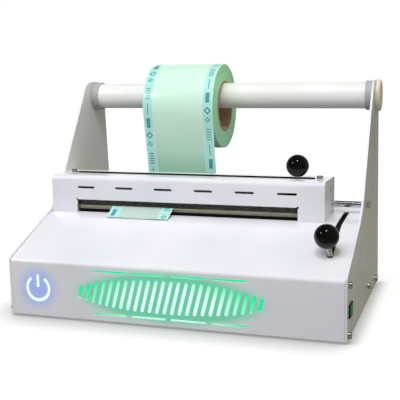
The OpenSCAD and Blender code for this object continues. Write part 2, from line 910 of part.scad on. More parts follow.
module lever_rod() {
    color("silver") placed() {
        on_lever() translate([0, 0, rod_start]) cylinder(r = lever_r, h = arm_l - rod_start);
        on_stud() {
            sphere(r = lever_r + 0.2);
            cylinder(r = lever_r, h = stud_l + 4);
        }
    }
}

// Ball with a flat underside and a blind hole, local Z along its stem
module ball_knob(stem_r) {
    difference() {
        sphere(r = knob_r, $fn = 72);
        translate([0, 0, -knob_r - 5]) cylinder(r = knob_r, h = 6.2);
        translate([0, 0, -knob_r]) cylinder(r = stem_r + play, h = knob_r + 4.5);
    }
}

module lever_knob() {
    color("black") placed() on_stud() translate([0, 0, stud_l]) ball_knob(lever_r);
}

module lever_hub() {
    color("silver") placed() on_lever() difference() {
        union() {
            rod_x(-hub_w / 2, hub_w / 2, hub_r);
            cylinder(r = socket_r, h = socket_l);
        }
        rod_x(-hub_w, hub_w, shaft_r + play);
        translate([0, 0, rod_start - 0.1]) cylinder(r = lever_r + play, h = socket_l);
    }
}

module cam_shaft() {
    color("silver") placed() translate([0, shaft_y, shaft_z])
        rod_x(jaw_x - post_dx - 19, lever_x + 10, shaft_r);
}

// Lift of the jaw for each radian of the lever's turn
cam_rate = jaw_lift / lever_travel * 180 / PI;

// Involute cam: under a flat foot the jaw falls evenly as the lever goes back
function cam_outline() = concat(
    [for (i = [0 : 12]) let(a = lever_travel * i / 12)
        (cam_top - jaw_lift * i / 12) * [-sin(a), cos(a)] + cam_rate * [cos(a), sin(a)]],
    arc([0, 0], cam_r, 90 + lever_travel, 410, 28)
);

module lift_cams() {
    color("slategray") placed() for (x = [jaw_x - post_dx, jaw_x + post_dx]) {
        translate([x, shaft_y, shaft_z]) difference() {
            along_x(-5, 5, cam_outline());
            rod_x(-6, 6, shaft_r + play);
        }
    }
}

module pressure_bar() {
    color("silver") placed()
        block(window_left + 1, window_right - 1, shaft_y - jaw_w / 2, shaft_y + jaw_w / 2, bar_z, bar_top);
}

module jaw_posts() {
    color("silver") placed() for (x = [jaw_x - post_dx, jaw_x + post_dx]) {
        translate([x, shaft_y, foot_z]) cylinder(r = 8, h = 4);
        translate([x, shaft_y, foot_z]) cylinder(r = post_r, h = bar_z - foot_z);
    }
}

module press_strip() {
    color("wheat") placed()
        block(window_left + 1, window_right - 1, shaft_y - jaw_w / 2 + 1, shaft_y + jaw_w / 2 - 1,
            bar_top, strip_top);
}

module cutter_knob() {
    color("black") placed() translate([cutter_x, knob_y, cutter_knob_z]) ball_knob(stem_r);
}

module cutter_stem() {
    color("silver") placed() translate([cutter_x, knob_y, rail_z + 6])
        cylinder(r = stem_r, h = cutter_knob_z - rail_z - 2);
}

module cutter_carriage() {
    color("dimgray") placed() difference() {
        block(cutter_x - 14, cutter_x + 14, knob_y - 6, rail_y + 8, rail_z - 7, rail_z + 8);
        translate([0, rail_y, rail_z]) rod_x(cutter_x - 20, cutter_x + 20, rail_r + play);
        translate([cutter_x, knob_y, rail_z + 5.9]) cylinder(r = stem_r + play, h = 10);
        block(cutter_x - 9, cutter_x + 9, knob_y + 2.9, knob_y + 3.9, rail_z - 8, rail_z - 1);
    }
}

module cutter_blade() {
    color("silver") placed() translate([cutter_x, knob_y + 3.8, 0]) rotate([90, 0, 0]) linear_extrude(0.8)
        polygon([[-8, rail_z - 1.2], [8, rail_z - 1.2], [8, film_z + 3], [0, film_z - 4], [-8, film_z + 3]]);
}

module rocker() {
    color("green") placed() translate([overall_w / 2 - pin_in, switch_y, switch_z]) {
        cylinder(r = pin_r, h = 2 * switch_half_h - 1.2, center = true);
        rotate([0, 0, rocker_tilt]) difference() {
            translate([-2.5, 2.2 - switch_half, 1.5 - switch_half_h])
                cube([8, 2 * switch_half - 4.4, 2 * switch_half_h - 3]);
            translate([19.5, 0, 0]) cylinder(r = 16, h = 20, center = true, $fn = 96);
        }
    }
}

module roll_tube() {
    color("white") placed() translate([0, tube_y, tube_z]) difference() {
        rod_x(-tube_half, tube_half, tube_r);
        rod_x(-tube_half - 1, tube_half + 1, tube_r - tube_wall);
    }
}

// Plug with a collar and the journal that turns in the side plate; local X outward
module tube_plug() {
    rod_x(-22, 0.1, tube_r - tube_wall - play);
    rod_x(0, plate_in - cover_gap - tube_half, tube_r + 2);
    rod_x(0, journal_end + 3 - tube_half, journal_r);
}

module left_tube_plug() {
    color("gray") placed() translate([-tube_half, tube_y, tube_z]) mirror([1, 0, 0]) tube_plug();
}

module right_tube_plug() {
    color("gray") placed() translate([tube_half, tube_y, tube_z]) tube_plug();
}

module end_cap() {
    difference() {
        union() {
            rod_x(0, cap_t - 1.5, cap_r);
            translate([cap_t - 1.5, 0, 0]) rotate([0, 90, 0]) cylinder(r1 = cap_r, r2 = cap_r - 1.5, h = 1.5);
        }
        rod_x(-1, 3.1, journal_r + play);
    }
}

module left_end_cap() {
    color("beige") placed() translate([-journal_end, tube_y, tube_z]) mirror([1, 0, 0]) end_cap();
}

module right_end_cap() {
    color("beige") placed() translate([journal_end, tube_y, tube_z]) end_cap();
}

module reel_film() {
    color("lightgreen") placed() translate([reel_x, tube_y, reel_z]) difference() {
        rod_x(0, reel_w, reel_r);
        rod_x(-1, reel_w + 1, core_r + core_t + play);
    }
}

module reel_core() {
    color("tan") placed() translate([reel_x, tube_y, reel_z]) difference() {
        rod_x(-0.5, reel_w + 0.5, core_r + core_t);
        rod_x(-1, reel_w + 1, core_r);
    }
}

left_side_plate();
right_side_plate();
deck_cover();
base_plate();
rear_panel();
feet();
plate_screws();
head_cover();
left_head_end();
right_head_end();
head_screws();
stay_rod();
stay_nuts();
heater_block();
heater_rods();
heater_insulators();
cutter_rail();
cutter_guide();
left_cam_stand();
right_cam_stand();
light_diffuser();
icon_lens();
led_board();
control_board();
transformer();
mains_inlet();
fuse_holder();
switch_body();
film_web();
pouch();
lever_rod();
lever_knob();
lever_hub();
cam_shaft();
lift_cams();
pressure_bar();
jaw_posts();
press_strip();
cutter_knob();
cutter_stem();
cutter_carriage();
cutter_blade();
rocker();
roll_tube();
left_tube_plug();
right_tube_plug();
left_end_cap();
right_end_cap();
reel_film();
reel_core();
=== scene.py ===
"""Dresses the pouch sealer: finishes for its metal, plastic, light and paper pieces, the printed
film on the reel, the hanging web and the cut pouch, and a white studio with the photo's camera."""

from __future__ import annotations

import logging
import math
from dataclasses import dataclass
from enum import Enum
from typing import Any, Callable

import bpy
from mathutils import Matrix, Vector


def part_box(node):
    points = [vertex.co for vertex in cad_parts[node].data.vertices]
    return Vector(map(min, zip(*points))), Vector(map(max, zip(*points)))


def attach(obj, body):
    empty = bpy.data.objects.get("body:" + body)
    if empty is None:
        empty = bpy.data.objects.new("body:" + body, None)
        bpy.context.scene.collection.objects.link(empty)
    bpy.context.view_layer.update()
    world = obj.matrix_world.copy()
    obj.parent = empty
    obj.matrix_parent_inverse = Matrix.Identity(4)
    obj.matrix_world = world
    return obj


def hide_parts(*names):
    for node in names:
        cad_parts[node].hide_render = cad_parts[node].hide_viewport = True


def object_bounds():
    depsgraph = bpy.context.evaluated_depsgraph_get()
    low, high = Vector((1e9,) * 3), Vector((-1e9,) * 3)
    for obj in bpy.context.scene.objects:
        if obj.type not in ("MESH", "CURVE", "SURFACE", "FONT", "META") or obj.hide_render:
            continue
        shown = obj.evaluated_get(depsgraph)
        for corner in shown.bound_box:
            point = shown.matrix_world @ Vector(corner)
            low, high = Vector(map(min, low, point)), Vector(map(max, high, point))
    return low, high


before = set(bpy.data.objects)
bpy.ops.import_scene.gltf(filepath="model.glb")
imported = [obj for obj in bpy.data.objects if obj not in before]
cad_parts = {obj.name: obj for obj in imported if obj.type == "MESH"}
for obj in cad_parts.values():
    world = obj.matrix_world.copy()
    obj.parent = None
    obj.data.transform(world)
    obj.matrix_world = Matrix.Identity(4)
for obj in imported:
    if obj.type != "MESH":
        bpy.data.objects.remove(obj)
CAD_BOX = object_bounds()
MM = 0.001
log = logging.getLogger("pouch_sealer")

# Points of a mesh that are closer than this, in metres, count as one.
SAME = 1e-5
# Faces whose normal's depth is below this look to the front.
FRONT = -0.6
# How far a softened normal leaves the true one, from a face to a worn edge.
EDGE_TURN = (0.02, 0.25)
# Parts of a noise's scale that are spread over a whole share, from nearly all of it to its peaks.
EVEN = (0.3, 0.7)
BROAD = (0.3, 0.75)
UPPER = (0.4, 0.7)
PEAKS = (0.45, 0.75)

# Inputs that a node's terms go to, where they aren't its first ones, and the output that it gives.
TERMS: dict[str, tuple] = {
    "Mix": (0, 6, 7),
    "TexNoise": ("Vector", "Scale", "Detail"),
    "TexVoronoi": ("Vector", "Scale"),
    "Bump": ("Strength", "Distance", "Height", "Normal"),
    "AmbientOcclusion": ("Color", "Distance"),
    "VectorMath SCALE": (0, "Scale"),
}
WANTED: dict[str, Any] = {
    "Mix": 2,
    "NewGeometry": "Normal",
    "Attribute": "Vector",
    "AmbientOcclusion": "AO",
    "TexVoronoi": "Distance",
    "VectorMath DOT_PRODUCT": "Value",
    "VectorMath LENGTH": "Value",
}


class Axis(Enum):
    """Direction in which a metal was drawn, turned or brushed."""

    X = 0
    Y = 1
    Z = 2


def linear(code: str) -> tuple[float, float, float, float]:
    """Turns an sRGB hex colour into linear light.

    Args:
        code: Colour as #RRGGBB.

    Returns:
        Linear red, green, blue and an alpha of 1.
    """
    parts = [int(code[i:i + 2], 16) / 255 for i in (1, 3, 5)]
    light = [p / 12.92 if p <= 0.04045 else ((p + 0.055) / 1.055) ** 2.4 for p in parts]
    return (light[0], light[1], light[2], 1.0)


class Recipe:
    """A node tree that is filled node by node."""

    def __init__(self, tree: bpy.types.NodeTree) -> None:
        """Empties a tree and reads the place on the piece in millimetres.

        Args:
            tree: Tree of a material or of the world.
        """
        self.tree = tree
        tree.nodes.clear()
        self.place = self.put("TexCoord").node.outputs
        self.mm = self.put("VectorMath SCALE", self.place["Object"], 1 / MM)

    def put(self, kind: str, *terms: Any, **settings: Any) -> Any:
        """Adds a node with its settings and links.

        Args:
            kind: Blender's name for the node without ShaderNode, and its operation where it has one.
            terms: Sockets to link, or constants, in the order of TERMS or of the node's inputs.
            settings: Attributes of the node.

        Returns:
            The output that is wanted from such a node, or None.
        """
        name, _, operation = kind.partition(" ")
        node = self.tree.nodes.new("ShaderNode" + name)
        if operation:
            node.operation = operation
        if name == "Mix":
            node.data_type = "RGBA"
        for key, value in settings.items():
            setattr(node, key, value)
        inputs = TERMS.get(kind, TERMS.get(name, range(len(node.inputs))))
        for key, value in zip(inputs, terms):
            self.feed(node.inputs[key], value)
        return node.outputs[WANTED.get(kind, WANTED.get(name, 0))] if node.outputs else None

    def feed(self, socket: bpy.types.NodeSocket, value: Any) -> None:
        """Links a socket to another, or sets its constant, with a hex colour turned to linear.

        Args:
            socket: Input to feed.
            value: Output to link, number, vector or hex colour.
        """
        if isinstance(value, bpy.types.NodeSocket):
            self.tree.links.new(value, socket)
        else:
            socket.default_value = linear(value) if isinstance(value, str) else value

    def shade(self, **values: Any) -> None:
        """Adds the shader and its output, and feeds the shader's inputs, named with _ for each space.

        Args:
            values: Sockets or constants for the shader.
        """
        shader = self.put("BsdfPrincipled").node
        self.put("OutputMaterial", shader.outputs[0])
        for name, value in values.items():
            self.feed(shader.inputs[name.replace("_", " ")], value)

    def worn_edge(self, radius: float) -> Any:
        """Masks the outer edges of a piece.

        Args:
            radius: How far from the edge the mask reaches, in millimetres.

        Returns:
            A socket that is 1 along the edges and 0 on the faces.
        """
        soft = self.put("Bevel", radius * MM, samples=8)
        dot = self.put("VectorMath DOT_PRODUCT", soft, self.put("NewGeometry"))
        return self.put("MapRange", self.put("Math SUBTRACT", 1.0, dot), *EDGE_TURN)

    def ellipse(self, centre: tuple[float, float], reach: tuple[float, float]) -> Any:
        """Measures how far a point lies from the middle of an upright ellipse.

        Args:
            centre: Its middle along X and Z in millimetres.
            reach: Its half width and half height in millimetres.

        Returns:
            A socket that is 0 in the middle and 1 on the ellipse.
        """
        away = self.put("VectorMath SUBTRACT", self.mm, (centre[0], 0.0, centre[1]))
        flat = self.put("VectorMath MULTIPLY", away, (1 / reach[0], 0.0, 1 / reach[1]))
        return self.put("VectorMath LENGTH", flat)

    def facing_front(self) -> Any:
        """Masks the faces that look to the front."""
        depth = self.put("SeparateXYZ", self.put("NewGeometry")).node.outputs[1]
        return self.put("Math LESS_THAN", depth, FRONT)


@dataclass(frozen=True)
class Finish:
    """A real material: its name and the colour it starts from. Sizes in finishes are in millimetres."""

    name: str
    colour: str

    def material(self) -> bpy.types.Material:
        """Returns the finish's material, made the first time it is asked for."""
        found = bpy.data.materials.get(self.name)
        if found:
            return found
        made = bpy.data.materials.new(self.name)
        made.use_nodes = True
        self.paint(Recipe(made.node_tree))
        return made

    def paint(self, recipe: Recipe) -> None:
        """Fills the material's tree."""
        raise NotImplementedError


@dataclass(frozen=True)
class Glow:
    """Coloured light that spills on the panel round a lit cutout, full up to a share of its reach."""

    colour: str
    centre: tuple[float, float]
    reach: tuple[float, float]
    strength: float
    full: float = 0.3


@dataclass(frozen=True)
class PowderCoat(Finish):
    """Steel sheet under a baked powder coat: a wet gloss over faint orange peel, thin at the edges."""

    shade: str = "#E4E4EC"
    worn: str = "#D2D1CE"
    cloud: float = 90.0
    chip: float = 7.0
    chipped: float = 0.45
    edge: float = 0.5
    smear: float = 30.0
    peel: float = 2.2
    rough: float = 0.2
    glows: tuple[Glow, ...] = ()
    spilt: float = 0.12

    def paint(self, recipe: Recipe) -> None:
        """Fills the material's tree."""
        cloud = recipe.put("TexNoise", recipe.mm, 1 / self.cloud, 2.0)
        colour = recipe.put("Mix", recipe.put("MapRange", cloud, *BROAD), self.colour, self.shade)
        flaws = recipe.put("TexNoise", recipe.mm, 1 / self.chip, 3.0)
        chips = recipe.put("MapRange", flaws, *PEAKS, 0.0, self.chipped)
        thin = recipe.put("Math MULTIPLY", recipe.worn_edge(self.edge), chips)
        colour = recipe.put("Mix", thin, colour, self.worn)
        handled = recipe.put("TexNoise", recipe.mm, 1 / self.smear, 4.0)
        peel = recipe.put("TexNoise", recipe.mm, 1 / self.peel, 1.0)
        light: Any = "#000000"
        for glow in self.glows:
            share = self.spill(recipe, glow)
            colour = recipe.put("Mix", share, colour, glow.colour)
            light = recipe.put("Mix", share, light, glow.colour)
        recipe.shade(
            Base_Color=colour, Coat_Weight=0.2, Coat_Roughness=0.06, Emission_Color=light,
            Emission_Strength=self.spilt if self.glows else 0.0,
            Roughness=recipe.put("MapRange", handled, *BROAD, self.rough - 0.02, self.rough + 0.05),
            Normal=recipe.put("Bump", 0.05, 0.02 * MM, peel))

    def spill(self, recipe: Recipe, glow: Glow) -> Any:
        """Masks the front of the coat where light spills from a cutout.

        Args:
            recipe: Material that it goes into.
            glow: The light.

        Returns:
            The light's share of the coat's look.
        """
        far = recipe.ellipse(glow.centre, glow.reach)
        fall = recipe.put("MapRange", far, 1.0, glow.full, 0.0, glow.strength,
                          interpolation_type="SMOOTHSTEP")
        return recipe.put("Math MULTIPLY", fall, recipe.facing_front())


@dataclass(frozen=True)
class BareMetal(Finish):
    """Bare or plated metal: mirror-like along its drawing lines, with fine scuffs that dull it, and painted
    shade below a height where asked.
    """

    dull: str = "#8E8F92"
    rough: float = 0.18
    line: float = 0.35
    along: Axis = Axis.X
    scuff: float = 0.12
    scratch: float = 6.0
    stretch: float = 0.03
    edge: float = 0.4
    # Heights in millimetres over which the metal goes from painted shade in the black colour below to clean
    # metal above, or None.
    shade_heights: tuple[float, float] | None = None
    black: str = "#24231F"

    def paint(self, recipe: Recipe) -> None:
        """Fills the material's tree."""
        squeeze = tuple(self.stretch if axis is self.along else 1.0 for axis in Axis)
        # The drawing lines are really finer, and are drawn this coarse so that they show.
        drawn = recipe.put("VectorMath MULTIPLY", recipe.mm, squeeze)
        lines = recipe.put("TexNoise", drawn, 1 / self.line, 3.0)
        scuffs = recipe.put("TexNoise", recipe.mm, 1 / self.scratch, 5.0)
        dulled = recipe.put("MapRange", scuffs, 0.4, 0.8, 0.0, 0.8)
        colour = recipe.put("Mix", dulled, self.colour, self.dull)
        # Painted shade: below these heights the colour turns black, where the deck's slot edge shades the
        # jaw.
        if self.shade_heights:
            high = recipe.put("SeparateXYZ", recipe.mm).node.outputs[2]
            shade_share = recipe.put("MapRange", high, *self.shade_heights, 1.0, 0.0)
            colour = recipe.put("Mix", shade_share, colour, self.black)
        bright = recipe.put("Math MULTIPLY", recipe.worn_edge(self.edge), 0.4)
        spread = recipe.put("Math MULTIPLY", recipe.put("Math ADD", lines, scuffs), self.scuff)
        recipe.shade(
            Base_Color=recipe.put("Mix", bright, colour, self.colour), Metallic=1.0,
            Roughness=recipe.put("Math ADD", spread, self.rough - self.scuff / 2),
            Normal=recipe.put("Bump", 0.12, 0.01 * MM, lines))


@dataclass(frozen=True)
class Moulded(Finish):
    """Moulded plastic, bakelite or rubber: an even body with a fine grain and a little dust."""

    rough: float = 0.35
    grain: float = 0.6
    depth: float = 0.02
    speck: float = 18.0
    gloss: float = 0.5
    dust: str = "#B9B7B0"
    dusty: float = 0.06

    def paint(self, recipe: Recipe) -> None:
        """Fills the material's tree."""
        fine = recipe.put("TexNoise", recipe.mm, 1 / self.grain, 2.0)
        broad = recipe.put("TexNoise", recipe.mm, 1 / self.speck, 4.0)
        share = recipe.put("MapRange", broad, 0.45, 0.8, 0.0, self.dusty)
        both = recipe.put("Math ADD", fine, broad)
        recipe.shade(
            Base_Color=recipe.put("Mix", share, self.colour, self.dust), Specular_IOR_Level=self.gloss,
            Roughness=recipe.put("MapRange", both, 0.6, 1.4, self.rough * 0.9, self.rough * 1.25),
            Normal=recipe.put("Bump", 0.3, self.depth * MM, fine))


@dataclass(frozen=True)
class LitLens(Finish):
    """Diffuse acrylic in front of lamps: whitest where the lamps crowd, pure colour towards its ends."""

    tint: str = "#06E49A"
    body: str = "#1C5C45"
    centre: tuple[float, float] = (0.0, 31.0)
    core: float = 0.5
    half: tuple[float, float] = (118.0, 38.0)
    cloud: float = 5.0

    def paint(self, recipe: Recipe) -> None:
        """Fills the material's tree."""
        cloud = recipe.put("TexNoise", recipe.mm, 1 / self.cloud, 3.0)
        milk = recipe.put("MapRange", cloud, *EVEN, 0.0, 0.1)
        far = recipe.put("MapRange", recipe.ellipse(self.centre, self.half), self.core, 0.95)
        share = recipe.put("Math ADD", far, milk)
        recipe.shade(
            Base_Color=recipe.put("Mix", milk, self.body, self.tint), Roughness=0.4,
            Specular_IOR_Level=0.15,
            Emission_Color=recipe.put("Mix", share, self.colour, self.tint),
            Emission_Strength=recipe.facing_front())


@dataclass(frozen=True)
class PrintedFilm(Finish):
    """Clear film sealed to paper: a mint sheen over fine paper fibre, with printed and knurled margins."""

    shade: str = "#CEF3DE"
    fibre: str = "#E2FAEC"
    width: float = 102.0
    margin: float = 14.0
    band: str = "#B4EBE0"
    ink: str = "#178E94"
    rim: str = "#E6FBF4"
    repeat: float = 94.25
    # Middle of each motif along the repeat, and half of its width and length or its size.
    comb: tuple[float, tuple[float, float]] = (62.0, (3.4, 9.0))
    blocks: tuple[tuple[float, tuple[float, float]], ...] = ((10.0, (2.8, 7.0)), (84.0, (0.7, 8.0)))
    lozenges: tuple[tuple[float, float], ...] = ((28.0, 5.4), (41.0, 4.0))
    tooth: float = 3.6
    knurl: float = 1.6
    cloud: float = 40.0
    thread: float = 0.9
    crinkle: float = 30.0
    rough: float = 0.33
    # Colour that the film darkens to along its run, and the millimetres of run over which it does, or None:
    # painted shade for the web hanging behind the head.
    low: str = "#ADD5C0"
    fade: tuple[float, float] | None = None

    def patch(self, recipe: Recipe, place: tuple[Any, Any], at: float, half: tuple[float, float]) -> Any:
        """Masks a printed block in the middle of the margin.

        Args:
            recipe: Material that it goes into.
            place: Millimetres from the film's edge and along the repeat.
            at: Middle of the block along the repeat.
            half: Half of its width and of its length.

        Returns:
            A socket that is 1 in the block.
        """
        across = recipe.put("Math COMPARE", place[0], self.margin / 2, half[0])
        return recipe.put("Math MULTIPLY", across, recipe.put("Math COMPARE", place[1], at, half[1]))

    def lozenge(self, recipe: Recipe, place: tuple[Any, Any], at: float, size: float) -> Any:
        """Masks an open lozenge in the middle of the margin.

        Args:
            recipe: Material that it goes into.
            place: Millimetres from the film's edge and along the repeat.
            at: Middle of the lozenge along the repeat.
            size: Half of its length.

        Returns:
            A socket that is 1 on its outline.
        """
        across = recipe.put("Math ABSOLUTE", recipe.put("Math SUBTRACT", place[0], self.margin / 2))
        along = recipe.put("Math ABSOLUTE", recipe.put("Math SUBTRACT", place[1], at))
        return recipe.put("Math COMPARE", recipe.put("Math ADD", across, along), size * 0.75, size * 0.25)

    def inked(self, recipe: Recipe, place: tuple[Any, Any]) -> Any:
        """Puts the motifs of the margin together.

        Args:
            recipe: Material that they go into.
            place: Millimetres from the film's edge and along the repeat.

        Returns:
            The share of ink.
        """
        comb = self.patch(recipe, place, *self.comb)
        wave = recipe.put("Math SINE", recipe.put("Math MULTIPLY", place[1], 2 * math.pi / self.tooth))
        share = recipe.put("Math MULTIPLY", comb, recipe.put("Math GREATER_THAN", wave, 0.2))
        masks = [self.patch(recipe, place, *block) for block in self.blocks]
        masks += [self.lozenge(recipe, place, *lozenge) for lozenge in self.lozenges]
        for mask in masks:
            share = recipe.put("Math MAXIMUM", share, mask)
        fade = recipe.put("MapRange", recipe.put("TexNoise", recipe.mm, 1 / 3, 3.0), 0.3, 0.6, 0.75, 0.95)
        return recipe.put("Math MULTIPLY", share, fade)

    def paint(self, recipe: Recipe) -> None:
        """Fills the material's tree."""
        printed = recipe.put("SeparateXYZ", recipe.put("Attribute", attribute_name="print_mm")).node.outputs
        middle = recipe.put("Math SUBTRACT", printed[0], self.width / 2)
        edge = recipe.put("Math SUBTRACT", self.width / 2, recipe.put("Math ABSOLUTE", middle))
        on_right = recipe.put("Math GREATER_THAN", middle, 0.0)
        other = recipe.put("Math MULTIPLY", on_right, self.repeat * 0.38)
        run = recipe.put("Math FLOORED_MODULO", recipe.put("Math ADD", printed[1], other), self.repeat)
        cloud = recipe.put("TexNoise", recipe.mm, 1 / self.cloud, 2.0)
        fibre = recipe.put("TexNoise", recipe.mm, 1 / self.thread, 4.0)
        colour = recipe.put("Mix", recipe.put("MapRange", cloud, *EVEN), self.colour, self.shade)
        colour = recipe.put("Mix", recipe.put("MapRange", fibre, *UPPER, 0.0, 0.2), colour, self.fibre)
        # Painted shade: the film darkens to the low colour along its run.
        if self.fade:
            colour = recipe.put("Mix", recipe.put("MapRange", printed[1], *self.fade), colour, self.low)
        in_margin = recipe.put("Math LESS_THAN", edge, self.margin)
        colour = recipe.put("Mix", in_margin, colour, self.band)
        seam = recipe.put("Math COMPARE", edge, self.margin + 0.6, 0.6)
        rim = recipe.put("Math MAXIMUM", seam, recipe.put("Math LESS_THAN", edge, 1.0))
        colour = recipe.put("Mix", recipe.put("Math MULTIPLY", rim, 0.6), colour, self.rim)
        colour = recipe.put("Mix", self.inked(recipe, (edge, run)), colour, self.ink)
        knurl = recipe.put("Math SINE", recipe.put(
            "Math MULTIPLY", recipe.put("Math ADD", printed[1], edge), 2 * math.pi / self.knurl))
        crinkle = recipe.put("TexNoise", recipe.mm, 1 / self.crinkle, 0.0)
        ribbed = recipe.put("Math MULTIPLY", recipe.put("Math MULTIPLY", knurl, in_margin), 0.05)
        recipe.shade(
            Base_Color=colour, Coat_Weight=0.2, Coat_Roughness=0.2,
            Roughness=recipe.put("MapRange", crinkle, 0.2, 0.8, self.rough - 0.03, self.rough + 0.03),
            Normal=recipe.put("Bump", 0.1, 0.1 * MM, recipe.put("Math ADD", crinkle, ribbed)))


@dataclass(frozen=True)
class WoundEdge(Finish):
    """The edges of many turns of film: green rings, a few turns standing proud and catching light."""

    pale: str = "#C6FDE0"
    deep: str = "#8CE8B8"
    centre: tuple[float, float] = (0.0, 0.0)
    turn: float = 1.1
    batch: float = 6.0

    def paint(self, recipe: Recipe) -> None:
        """Fills the material's tree."""
        away = recipe.put("VectorMath SUBTRACT", recipe.mm, (0.0, *self.centre))
        radius = recipe.put("VectorMath LENGTH", recipe.put("VectorMath MULTIPLY", away, (0.0, 1.0, 1.0)))
        line = recipe.put("CombineXYZ", radius)
        ring = recipe.put("TexNoise", line, 1 / self.turn, 3.0)
        broad = recipe.put("TexNoise", line, 1 / self.batch, 2.0)
        colour = recipe.put("Mix", recipe.put("MapRange", ring, *EVEN), self.colour, self.pale)
        colour = recipe.put("Mix", recipe.put("MapRange", broad, *PEAKS, 0.0, 0.6), colour, self.deep)
        recipe.shade(
            Base_Color=colour, Roughness=recipe.put("MapRange", ring, *EVEN, 0.45, 0.62),
            Normal=recipe.put("Bump", 0.5, 0.25 * MM, ring))


@dataclass(frozen=True)
class Cardboard(Finish):
    """Spiral-wound grey-brown board: short fibres, and a seam that climbs round the tube."""

    pale: str = "#C9B496"
    stain: str = "#8E7859"
    glue: str = "#4E3F2E"
    centre: tuple[float, float] = (0.0, 0.0)
    thread: float = 0.7
    cloud: float = 9.0
    pitch: float = 62.0
    seam: float = 0.015

    def paint(self, recipe: Recipe) -> None:
        """Fills the material's tree."""
        laid = recipe.put("VectorMath MULTIPLY", recipe.mm, (0.35, 1.0, 1.0))
        fibre = recipe.put("TexNoise", laid, 1 / self.thread, 4.0)
        cloud = recipe.put("TexNoise", recipe.mm, 1 / self.cloud, 3.0)
        part = recipe.put("SeparateXYZ", recipe.mm).node.outputs
        turn = recipe.put("Math ARCTAN2", recipe.put("Math SUBTRACT", part[2], self.centre[1]),
                          recipe.put("Math SUBTRACT", part[1], self.centre[0]))
        climb = recipe.put("Math ADD", recipe.put("Math DIVIDE", part[0], self.pitch),
                           recipe.put("Math DIVIDE", turn, 2 * math.pi))
        seam = recipe.put("Math LESS_THAN", recipe.put("Math FLOORED_MODULO", climb, 1.0), self.seam)
        colour = recipe.put("Mix", recipe.put("MapRange", fibre, 0.35, 0.65), self.colour, self.pale)
        colour = recipe.put("Mix", recipe.put("MapRange", cloud, *UPPER, 0.0, 0.4), colour, self.stain)
        recipe.shade(
            Base_Color=recipe.put("Mix", recipe.put("Math MULTIPLY", seam, 0.7), colour, self.glue),
            Roughness=recipe.put("MapRange", fibre, *EVEN, 0.75, 0.92),
            Normal=recipe.put("Bump", 0.5, 0.15 * MM, fibre))


@dataclass(frozen=True)
class CircuitBoard(Finish):
    """Glass-fibre board under green lacquer: lighter tracks, tin at the pads, black bodies of parts."""

    top: float = 0.0
    copper: str = "#2F8A57"
    tin: str = "#C9C6BC"
    case: str = "#17181A"
    rubbed: str = "#2A2B2E"

    def paint(self, recipe: Recipe) -> None:
        """Fills the material's tree."""
        tracks = recipe.put("TexVoronoi", recipe.mm, 1 / 5, feature="DISTANCE_TO_EDGE",
                            distance="MANHATTAN")
        pads = recipe.put("TexVoronoi", recipe.mm, 1 / 4)
        track = recipe.put("Math MULTIPLY", recipe.put("Math LESS_THAN", tracks, 0.12), 0.6)
        colour = recipe.put("Mix", track, self.colour, self.copper)
        colour = recipe.put("Mix", recipe.put("Math LESS_THAN", pads, 0.14), colour, self.tin)
        grain = recipe.put("TexNoise", recipe.mm, 1 / 3, 3.0)
        body = recipe.put("Mix", recipe.put("MapRange", grain, *EVEN), self.case, self.rubbed)
        high = recipe.put("SeparateXYZ", recipe.mm).node.outputs[2]
        recipe.shade(
            Base_Color=recipe.put("Mix", recipe.put("Math GREATER_THAN", high, self.top), colour, body),
            Roughness=recipe.put("MapRange", grain, *EVEN, 0.3, 0.5),
            Normal=recipe.put("Bump", 0.3, 0.05 * MM, tracks))


@dataclass(frozen=True)
class StackedIron(Finish):
    """Transformer of stacked sheet iron: dark varnished lines of laminations round a taped winding."""

    sheet: float = 1.0
    lamination: str = "#5B5A58"
    varnish: str = "#7A5A3A"

    def paint(self, recipe: Recipe) -> None:
        """Fills the material's tree."""
        part = recipe.put("SeparateXYZ", recipe.mm).node.outputs
        line = recipe.put("Math SINE", recipe.put("Math MULTIPLY", part[1], 2 * math.pi / self.sheet))
        cloud = recipe.put("TexNoise", recipe.mm, 1 / 4, 4.0)
        colour = recipe.put("Mix", recipe.put("MapRange", line, -1.0, 1.0), self.colour, self.lamination)
        runs = recipe.put("MapRange", cloud, *PEAKS, 0.0, 0.4)
        recipe.shade(
            Base_Color=recipe.put("Mix", runs, colour, self.varnish),
            Metallic=0.4, Roughness=recipe.put("MapRange", cloud, *EVEN, 0.45, 0.65),
            Normal=recipe.put("Bump", 0.4, 0.1 * MM, line))


@dataclass(frozen=True)
class GlassTape(Finish):
    """Release tape of woven glass over the silicone strip: a beige cloth grid with a waxy gloss."""

    pale: str = "#B9AF93"
    stain: str = "#7C7259"
    thread: float = 1.2

    def paint(self, recipe: Recipe) -> None:
        """Fills the material's tree."""
        part = recipe.put("SeparateXYZ", recipe.mm).node.outputs
        # Threads are really about half as wide, and are drawn this coarse so that they show.
        warp = recipe.put("Math SINE", recipe.put("Math MULTIPLY", part[0], math.pi / self.thread))
        weft = recipe.put("Math SINE", recipe.put("Math MULTIPLY", part[1], math.pi / self.thread))
        weave = recipe.put("Math MULTIPLY", warp, weft)
        stain = recipe.put("TexNoise", recipe.mm, 1 / 16, 4.0)
        colour = recipe.put("Mix", recipe.put("MapRange", weave, -1.0, 1.0), self.colour, self.pale)
        used = recipe.put("MapRange", stain, *PEAKS, 0.0, 0.4)
        recipe.shade(
            Base_Color=recipe.put("Mix", used, colour, self.stain),
            Roughness=recipe.put("MapRange", stain, *EVEN, 0.3, 0.45),
            Normal=recipe.put("Bump", 0.5, 0.08 * MM, weave))


